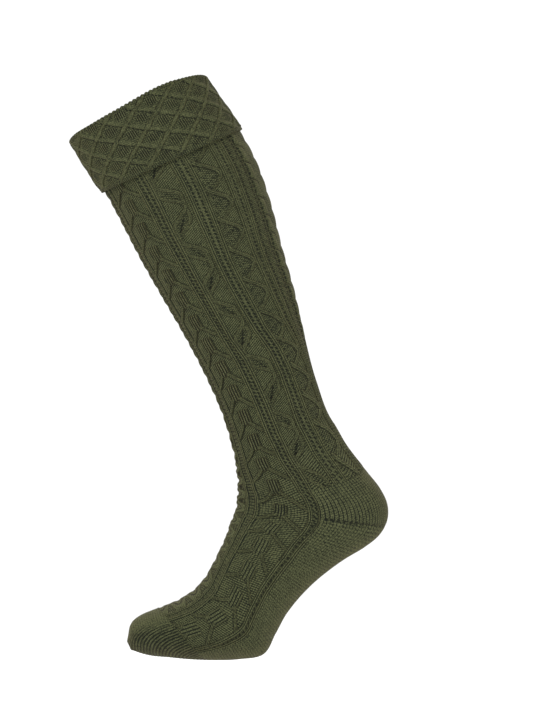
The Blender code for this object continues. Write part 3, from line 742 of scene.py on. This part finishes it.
def toe_course(u, side):
    """Courses run round the sole and turn to run back along the sides of the instep."""
    turn = 3.0 * np.exp((0.23 - side) / 0.029 + TOE_BEND * (575 - u))
    back = np.log1p(turn)
    for _ in range(5):  # Newton's steps for back * e ** back = turn
        back -= (back * np.exp(back) - turn) / (np.exp(back) * (1 + back))
    return u + back / TOE_BEND


def toe_knit(u, v):
    """Plain stitches with a fine groove between one course and the next, painted dark."""
    side = np.mod(v, 1.0)
    side = np.minimum(side, 1.0 - side)
    course = toe_course(u * 1000, side)
    cloth = patch(u * 1000, side * girth(u) * 1000 / WALE_MM, 0.0, 0.2, 0.0)
    cloth["course"] = np.where(side > 0.2, course, u * 1000) / TOE_COURSE + 0.5
    line_here = np.exp(-(nearest(course, TOE_COURSE) / 0.55) ** 2)
    strength = ease((side - 0.17) / 0.08)
    cloth["height"] -= 0.3 * line_here * strength
    # Painted shade in the groove between courses.
    cloth["painted_shade"] = 0.8 * line_here * strength
    return cloth


# Meshes. The spacings are distances between neighbouring rows of points.
FINE = 0.00074
CUFF_SPACING = 0.00066
INSTEP_SPACING = 0.00072
SOLE_SPACING = 0.0008
INSIDE_SPACING = 0.012
INSIDE_STEP = 12
CUFF_POINTS = 641
LEG_POINTS = 561
HEEL_POINTS, HEEL_ROWS = 220, 100
INSTEP_POINTS, SOLE_POINTS = 190, 200
TOE_POINTS, TOE_ROWS = 381, 110
RELIEF = 0.72
CUFF_STAND = CUFF_THICKNESS + PIECE_GAP
RIM_BUMPS = 92
RIM_RIPPLE = 0.0012


def grid(u, v, base, cloth):
    """One sheet of points with its knit; base is the height of the fabric's plain face."""
    rise = base + cloth["height"] * 0.001 * RELIEF
    stitch = np.stack([cloth["wale"], cloth["course"], cloth["seed"]], axis=-1)
    # Each point's painted shade, purl share and groove share.
    relief = np.stack([cloth["painted_shade"], cloth["purl"], cloth["groove"]], axis=-1)
    return lifted(u, v, rise), stitch, np.clip(relief, 0.0, 1.0)


def inner(u, v):
    """The inside face: the backs of the stitches."""
    cloth = patch(u * 1000, v * girth(u) * 1000 / WALE_MM, 0.0, 1.0, 0.2)
    return grid(u, v, -WALL, cloth)


def two_faces(u, v, cloth):
    """The outside with its knit and a sparser inside."""
    inside = inner(u[::INSIDE_STEP], v[::INSIDE_STEP])
    return [(grid(u, v, 0.0, cloth), False), (inside, True)]


def build(name, node, sheets, material):
    """A mesh from sheets of points; a sheet is (grid, flip), its rows running down the sock."""
    points, stitches, reliefs, quads = [], [], [], []
    count = 0
    for (place, stitch, relief), flip in sheets:
        rows, cols = place.shape[:2]
        index = count + np.arange(rows * cols).reshape(rows, cols)
        a, b = index[:-1, :-1], index[:-1, 1:]
        d, c = index[1:, :-1], index[1:, 1:]
        corners = (a, b, c, d) if flip else (a, d, c, b)
        quads.append(np.stack(corners, axis=-1).reshape(-1, 4))
        points.append(place.reshape(-1, 3))
        stitches.append(stitch.reshape(-1, 3))
        reliefs.append(relief.reshape(-1, 3))
        count += rows * cols
    points, stitches = np.concatenate(points), np.concatenate(stitches)
    reliefs, quads = np.concatenate(reliefs), np.concatenate(quads)
    mesh = bpy.data.meshes.new(name)
    mesh.vertices.add(len(points))
    mesh.vertices.foreach_set("co", points.astype(np.float32).ravel())
    mesh.loops.add(quads.size)
    mesh.loops.foreach_set("vertex_index", quads.astype(np.int32).ravel())
    mesh.polygons.add(len(quads))
    mesh.polygons.foreach_set("loop_start", np.arange(0, quads.size, 4, dtype=np.int32))
    mesh.polygons.foreach_set("use_smooth", np.ones(len(quads), dtype=bool))
    mesh.update(calc_edges=True)
    mesh.validate()
    mesh.attributes.new("stitch", "FLOAT_VECTOR", "POINT")
    mesh.attributes["stitch"].data.foreach_set("vector", stitches.astype(np.float32).ravel())
    mesh.attributes.new("relief", "FLOAT_VECTOR", "POINT")
    mesh.attributes["relief"].data.foreach_set("vector", reliefs.astype(np.float32).ravel())
    mesh.materials.append(material)
    piece = bpy.data.objects.new(name, mesh)
    bpy.context.scene.collection.objects.link(piece)
    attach(piece, "root")
    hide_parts(node)
    return piece


def rows_between(start, end, spacing):
    """Shares from one edge line to the other, about spacing apart at the widest place."""
    return np.linspace(0.0, 1.0, max(2, int(round(np.max(end - start) / spacing)) + 1))[:, None]


def band(name, node, slot, top, bottom, v, chart, material):
    """A band of cloth between two edge lines, with its inside face."""
    t = rows_between(top, bottom, FINE)
    u = top + t * (bottom - top)
    v = np.broadcast_to(v, u.shape)
    t = rows_between(top, bottom, INSIDE_SPACING)
    coarse = top + t * (bottom - top)
    inside = inner(coarse, np.broadcast_to(v[0], coarse.shape))
    sheets = [(grid(u, v, 0.0, chart(u, v)), False), (inside, True)]
    return build(name, node, sheets, material)


def corner_share():
    """Share of the girth at the heel's corner, where the vine panel begins."""
    return float(line(SOLE_LINE, np.array(bend_at(HEEL_CORNER))))


def around_leg(v):
    """0 from the front to the heel's corner, then up to 1 at the back centre line."""
    side = np.minimum(np.mod(v, 1.0), 1.0 - np.mod(v, 1.0))
    return np.clip((side - corner_share()) / (0.5 - corner_share()), 0.0, 1.0)


def toe_line(v):
    """Where the toe begins: nearer the tip on top than on the sole."""
    return foot_at(TOE_TOP + (TOE_SOLE - TOE_TOP) * (0.5 - 0.5 * np.cos(2 * math.pi * v)))


def toe_edge(share_at):
    """The toe line where columns lie at share_at(u) of the girth."""
    u = share_at(foot_at(0.6)) * 0.0 + foot_at(0.6)
    for _ in range(5):
        u = toe_line(share_at(u))
    return u


def add_cuff(material):
    """The outer ply, its fold at the rim and the return inside, as one closed sweep."""
    v = np.linspace(0.0, 1.0, CUFF_POINTS)
    stand = CUFF_STAND
    turn = [(0.0016, stand + 0.0001, 1.0), (0.0006, stand - 0.0006, 1.0),
            (0.0001, stand - 0.0014, 1.0), (0.0, 0.5 * (stand - WALL), 1.0),
            (0.0001, 0.0012 - WALL, 1.0), (0.0006, 0.0005 - WALL, 1.0), (0.0016, -WALL, 1.0),
            (0.5 * CUFF_RETURN, -WALL, 0.5), (CUFF_RETURN, -WALL, 0.0)]
    lower = [(CUFF_LENGTH, stand - 0.0003, 0.0), (CUFF_LENGTH + 0.0002, stand - 0.0012, 0.0),
             (CUFF_LENGTH, PIECE_GAP, 0.0), (0.5 * CUFF_LENGTH, PIECE_GAP, 0.0)]
    places = np.arange(0.0022, CUFF_LENGTH - 0.0003, CUFF_SPACING)
    face = [(at, stand, 1 - at / CUFF_LENGTH) for at in places]
    profile = np.array(turn[::-1] + face + lower)
    ripple = RIM_RIPPLE * np.abs(np.cos(math.pi * RIM_BUMPS * v))
    u = profile[:, :1] - profile[:, 2:] * (rim_rise(v) + ripple)
    base = profile[:, 1:2] + np.zeros_like(v)
    v = np.broadcast_to(v, u.shape)
    cloth = cuff_knit(u, v)
    outer = base > 0.5 * stand
    cloth["height"] = np.where(outer, cloth["height"] * np.clip(base / stand, 0, 1) ** 3, 0.0)
    cloth["painted_shade"] = np.where(outer, cloth["painted_shade"], 0.0)
    return build("cuff_knit", "cuff", [(grid(u, v, base, cloth), False)], material)


def add_leg(material):
    """The leg in five bands, from inside the cuff down to the heel."""
    v = np.linspace(0.0, 1.0, LEG_POINTS)
    level = np.ones_like(v)
    end = bend_at(HEEL_CORNER + (HEEL_TOP - HEEL_CORNER) * around_leg(v))
    places = [CUFF_LENGTH - 0.003, 0.118, LEG_SPLIT * LEG_LENGTH, 0.245, 0.300]
    edges = [at * level for at in places] + [end]
    names = ("leg_knit_1", "leg_knit_2", "leg_knit_3", "leg_knit_4", "leg_knit_5")
    for number, name in enumerate(names):
        node = "leg_upper" if number < 2 else "leg_lower"
        band(name, node, "leg", edges[number], edges[number + 1], v, knit, material)


def add_heel(material):
    """The heel cup, its rows running round from corner to corner."""
    b = np.linspace(0.0, 1.0, HEEL_POINTS)
    weight = 1 - np.abs(2 * b - 1)
    top = bend_at(HEEL_CORNER + (HEEL_TOP - HEEL_CORNER) * weight)
    gore = bend_at(GORE_CORNER + (GORE_CENTRE - GORE_CORNER) * weight)
    bottom = bend_at(HEEL_BOTTOM_CORNER + (HEEL_BOTTOM - HEEL_BOTTOM_CORNER) * weight)
    t = np.linspace(0.0, 1.0, HEEL_ROWS)[:, None]
    u = np.concatenate([top + t * (gore - top), (gore + t * (bottom - gore))[1:]])
    low = line(SOLE_LINE, u)
    v = low + b * (1 - 2 * low)
    return build("heel_knit", "heel", two_faces(u, v, heel_knit(u, b, top, gore)), material)


def add_foot(material):
    """The instep over the top and the sole below, meeting at the side lines."""
    t = np.linspace(-1.0, 1.0, INSTEP_POINTS)
    top = bend_at(HEEL_CORNER) * np.ones_like(t)
    bottom = toe_edge(lambda at: line(SOLE_LINE, at) * t)
    s = rows_between(top, bottom, INSTEP_SPACING)
    u = top + s * (bottom - top)
    v = line(SOLE_LINE, u) * t
    sheets = two_faces(u, v, knit(u, v, SOLE_LINE))
    b = np.linspace(0.0, 1.0, SOLE_POINTS)
    weight = 1 - np.abs(2 * b - 1)
    notch = bend_at(HEEL_BOTTOM_CORNER + (HEEL_BOTTOM - HEEL_BOTTOM_CORNER) * weight)
    end = toe_edge(lambda at: line(SOLE_LINE, at) + b * (1 - 2 * line(SOLE_LINE, at)))
    s = rows_between(notch, end, SOLE_SPACING)
    u = notch + s * (end - notch)
    low = line(SOLE_LINE, u)
    v = low + b * (1 - 2 * low)
    sheets += two_faces(u, v, knit(u, v, SOLE_LINE))
    return build("foot_knit", "foot", sheets, material)


def add_toe(material):
    """The closed toe, its rows closer together towards the tip."""
    v = np.linspace(0.0, 1.0, TOE_POINTS)
    edge = toe_line(v)
    t = np.linspace(0.0, 1.0, TOE_ROWS)[:, None]
    u = edge + (1 - (1 - t) ** 1.5) * (TOTAL_LENGTH - edge)
    v = np.broadcast_to(v, u.shape)
    return build("toe_knit", "toe", two_faces(u, v, toe_knit(u, v)), material)


# The wool: its colour on top of the yarn, and the painted shade it turns to in the gaps between,
# linear.
OLIVE = (0.085, 0.0925, 0.0405, 1.0)
SHADOW = (0.005, 0.007, 0.004, 1.0)


class Nodes:
    """Small helpers to write a material's nodes as sums."""

    def __init__(self, material):
        self.tree = material.node_tree
        self.shader = self.tree.nodes["Principled BSDF"]

    def link(self, source, target):
        """Join an output to a socket, or set the socket to a number."""
        if isinstance(source, (int, float)):
            target.default_value = source
        else:
            self.tree.links.new(source, target)

    def math(self, operation, *values, clamp=False):
        """The output of one math node."""
        node = self.tree.nodes.new("ShaderNodeMath")
        node.operation = operation
        node.use_clamp = clamp
        for value, socket in zip(values, node.inputs):
            self.link(value, socket)
        return node.outputs[0]

    def mix(self, share, low, high):
        """low where share is 0 and high where it is 1."""
        return self.math("ADD", self.math("MULTIPLY", share, high),
                         self.math("MULTIPLY", self.math("SUBTRACT", 1.0, share), low))

    def cosine(self, turns):
        """1 at whole turns and 0 half way between."""
        swing = self.math("COSINE", self.math("MULTIPLY", turns, 2 * math.pi))
        return self.math("MULTIPLY_ADD", swing, 0.5, 0.5)

    def parts(self, name):
        """The three numbers that each point of the mesh holds under this name."""
        attribute = self.tree.nodes.new("ShaderNodeAttribute")
        attribute.attribute_name = name
        split = self.tree.nodes.new("ShaderNodeSeparateXYZ")
        self.link(attribute.outputs["Vector"], split.inputs[0])
        return split.outputs

    def noise(self, size, detail):
        """Noise fixed to the sock, size metres from one lump to the next."""
        where = self.tree.nodes.new("ShaderNodeTexCoord")
        node = self.tree.nodes.new("ShaderNodeTexNoise")
        node.inputs["Scale"].default_value = 1.0 / size
        node.inputs["Detail"].default_value = detail
        self.link(where.outputs["Object"], node.inputs["Vector"])
        return node.outputs["Fac"]


def wool(name):
    """Knitted wool: the stitches are worked out from the wale and course of each point, with
    painted shade on their low parts.
    """
    material = bpy.data.materials.new(name)
    material.use_nodes = True
    n = Nodes(material)
    wale, course, seed = n.parts("stitch")
    painted_shade, purl, groove = n.parts("relief")
    odd = n.math("MODULO", n.math("FLOOR", n.math("ADD", wale, 1000.0)), 2.0)
    row = n.math("ADD", course, n.math("MULTIPLY", n.math("MULTIPLY", odd, 0.5), seed))
    off = n.math("ABSOLUTE", n.math("SUBTRACT", n.math("FRACT", wale), 0.5))
    leg = n.math("SINE", n.math("MULTIPLY", off, 2 * math.pi))
    leg = n.math("POWER", n.math("MAXIMUM", leg, 0.0), 0.6)
    crest = n.math("POWER", n.cosine(n.math("ADD", wale, 0.5)), 0.9)
    leg = n.mix(groove, leg, crest)
    slant = n.cosine(n.math("ADD", row, n.math("MULTIPLY", off, 0.9)))
    depth = n.math("MULTIPLY_ADD", groove, 0.05, 0.5)
    face = n.math("MULTIPLY", leg, n.mix(depth, 1.0, slant))
    lean = n.math("MULTIPLY", n.math("SUBTRACT", 1.0, seed), n.math("MULTIPLY", wale, 0.5))
    bumps = n.cosine(n.math("ADD", n.math("ADD", row, lean), 0.5))
    arches = n.math("MULTIPLY_ADD", n.cosine(wale), -0.35, 1.0)
    back = n.math("MULTIPLY", bumps, arches)
    yarn = n.mix(purl, face, back)
    # Painted shade along the grooves between wales; it also sinks the bump there.
    border = n.math("SUBTRACT", 1.0, n.math("MULTIPLY", n.math("SUBTRACT", 0.5, off), 1 / 0.24),
                    clamp=True)
    groove_shade = n.math("MULTIPLY", border, groove)

    # Painted shade: darker where the yarn lies low, along the grooves and in holes and hollows;
    # blotch and fleck are the yarn's own uneven tone.
    shade = n.math("ADD", n.math("SUBTRACT", 1.0, yarn), groove_shade)
    shade = n.math("ADD", shade, painted_shade)
    blotch = n.math("MULTIPLY_ADD", n.noise(0.012, 3.0), 0.24, -0.12)
    fleck = n.math("MULTIPLY_ADD", n.noise(0.0011, 3.0), 2.2, -1.1)
    shade = n.math("ADD", shade, n.math("ADD", blotch, fleck), clamp=True)
    colour = n.tree.nodes.new("ShaderNodeMix")
    colour.data_type = "RGBA"
    n.link(shade, colour.inputs["Factor"])
    colour.inputs["A"].default_value = OLIVE
    colour.inputs["B"].default_value = SHADOW
    n.link(colour.outputs["Result"], n.shader.inputs["Base Color"])

    height = n.math("MULTIPLY", yarn, 0.00042)
    height = n.math("SUBTRACT", height, n.math("MULTIPLY", groove_shade, 0.0003))
    height = n.math("SUBTRACT", height, n.math("MULTIPLY", painted_shade, 0.0004))
    height = n.math("ADD", height, n.math("MULTIPLY", n.noise(0.00035, 2.0), 0.00012))
    bump = n.tree.nodes.new("ShaderNodeBump")
    bump.inputs["Strength"].default_value = 0.85
    bump.inputs["Distance"].default_value = 1.0
    n.link(height, bump.inputs["Height"])
    n.link(bump.outputs["Normal"], n.shader.inputs["Normal"])

    n.shader.inputs["Roughness"].default_value = 0.92
    n.shader.inputs["Specular IOR Level"].default_value = 0.15
    n.shader.inputs["Sheen Weight"].default_value = 0.08
    n.shader.inputs["Sheen Roughness"].default_value = 0.45
    n.shader.inputs["Sheen Tint"].default_value = (0.68, 0.47, 0.13, 1.0)
    return material


add_cuff(wool("cuff wool"))
add_leg(wool("leg wool"))
add_heel(wool("heel wool"))
add_foot(wool("foot wool"))
add_toe(wool("toe wool"))


# The photograph's frame: one pixel is PIXEL metres at the sock's middle plane.
PIXEL = 0.00092
IMAGE_WIDTH, IMAGE_HEIGHT = 533, 711
ORIGIN_X, ORIGIN_Y = 141.0, 109.0
CAMERA_DISTANCE = 12.0
FLOOR_DROP = 0.055


def add_camera():
    """The photograph's side view, from far enough that the sock looks flat on."""
    lens = bpy.data.cameras.new("camera")
    lens.sensor_fit = "VERTICAL"
    lens.sensor_height = 36.0
    lens.lens = 36.0 * CAMERA_DISTANCE / (IMAGE_HEIGHT * PIXEL)
    camera = bpy.data.objects.new("camera", lens)
    across = (IMAGE_WIDTH / 2 - ORIGIN_X) * PIXEL
    up = (ORIGIN_Y - IMAGE_HEIGHT / 2) * PIXEL
    camera.location = (across, -CAMERA_DISTANCE, up)
    camera.rotation_euler = (math.pi / 2, 0.0, 0.0)
    bpy.context.scene.collection.objects.link(camera)
    bpy.context.scene.camera = camera


def add_floor():
    """A wide pale disc below the toe."""
    mesh = bpy.data.meshes.new("floor")
    level = cad_box[0][2] - FLOOR_DROP
    points = [(30 * math.cos(t), 30 * math.sin(t), level)
              for t in np.linspace(0, 2 * math.pi, 65)[:-1]]
    mesh.from_pydata(points, [], [tuple(range(len(points)))])
    paint = bpy.data.materials.new("pale floor")
    paint.use_nodes = True
    shader = paint.node_tree.nodes["Principled BSDF"]
    shader.inputs["Base Color"].default_value = (0.97, 0.97, 0.97, 1.0)
    shader.inputs["Roughness"].default_value = 0.9
    mesh.materials.append(paint)
    floor = bpy.data.objects.new("floor", mesh)
    bpy.context.scene.collection.objects.link(floor)


def add_light(name, place, aim, size, power):
    """A square soft light at place, turned towards aim."""
    lamp = bpy.data.lights.new(name, "AREA")
    lamp.size = size
    lamp.energy = power
    light = bpy.data.objects.new(name, lamp)
    light.location = place
    light.rotation_euler = (Vector(aim) - Vector(place)).to_track_quat("-Z", "Y").to_euler()
    bpy.context.scene.collection.objects.link(light)


add_camera()
add_floor()
centre = (0.10, 0.0, -0.22)
add_light("key", (-1.2, -1.9, 1.5), centre, 1.0, 42.0)
add_light("fill", (1.8, -1.8, 0.5), centre, 1.6, 14.0)
add_light("back", (0.6, 2.0, 1.0), centre, 1.6, 24.0)

world = bpy.data.worlds.new("studio")
world.use_nodes = True
world.node_tree.nodes["Background"].inputs["Color"].default_value = (1.0, 1.0, 1.0, 1.0)
world.node_tree.nodes["Background"].inputs["Strength"].default_value = 1.06
bpy.context.scene.world = world
bpy.context.scene.view_settings.view_transform = "Standard"
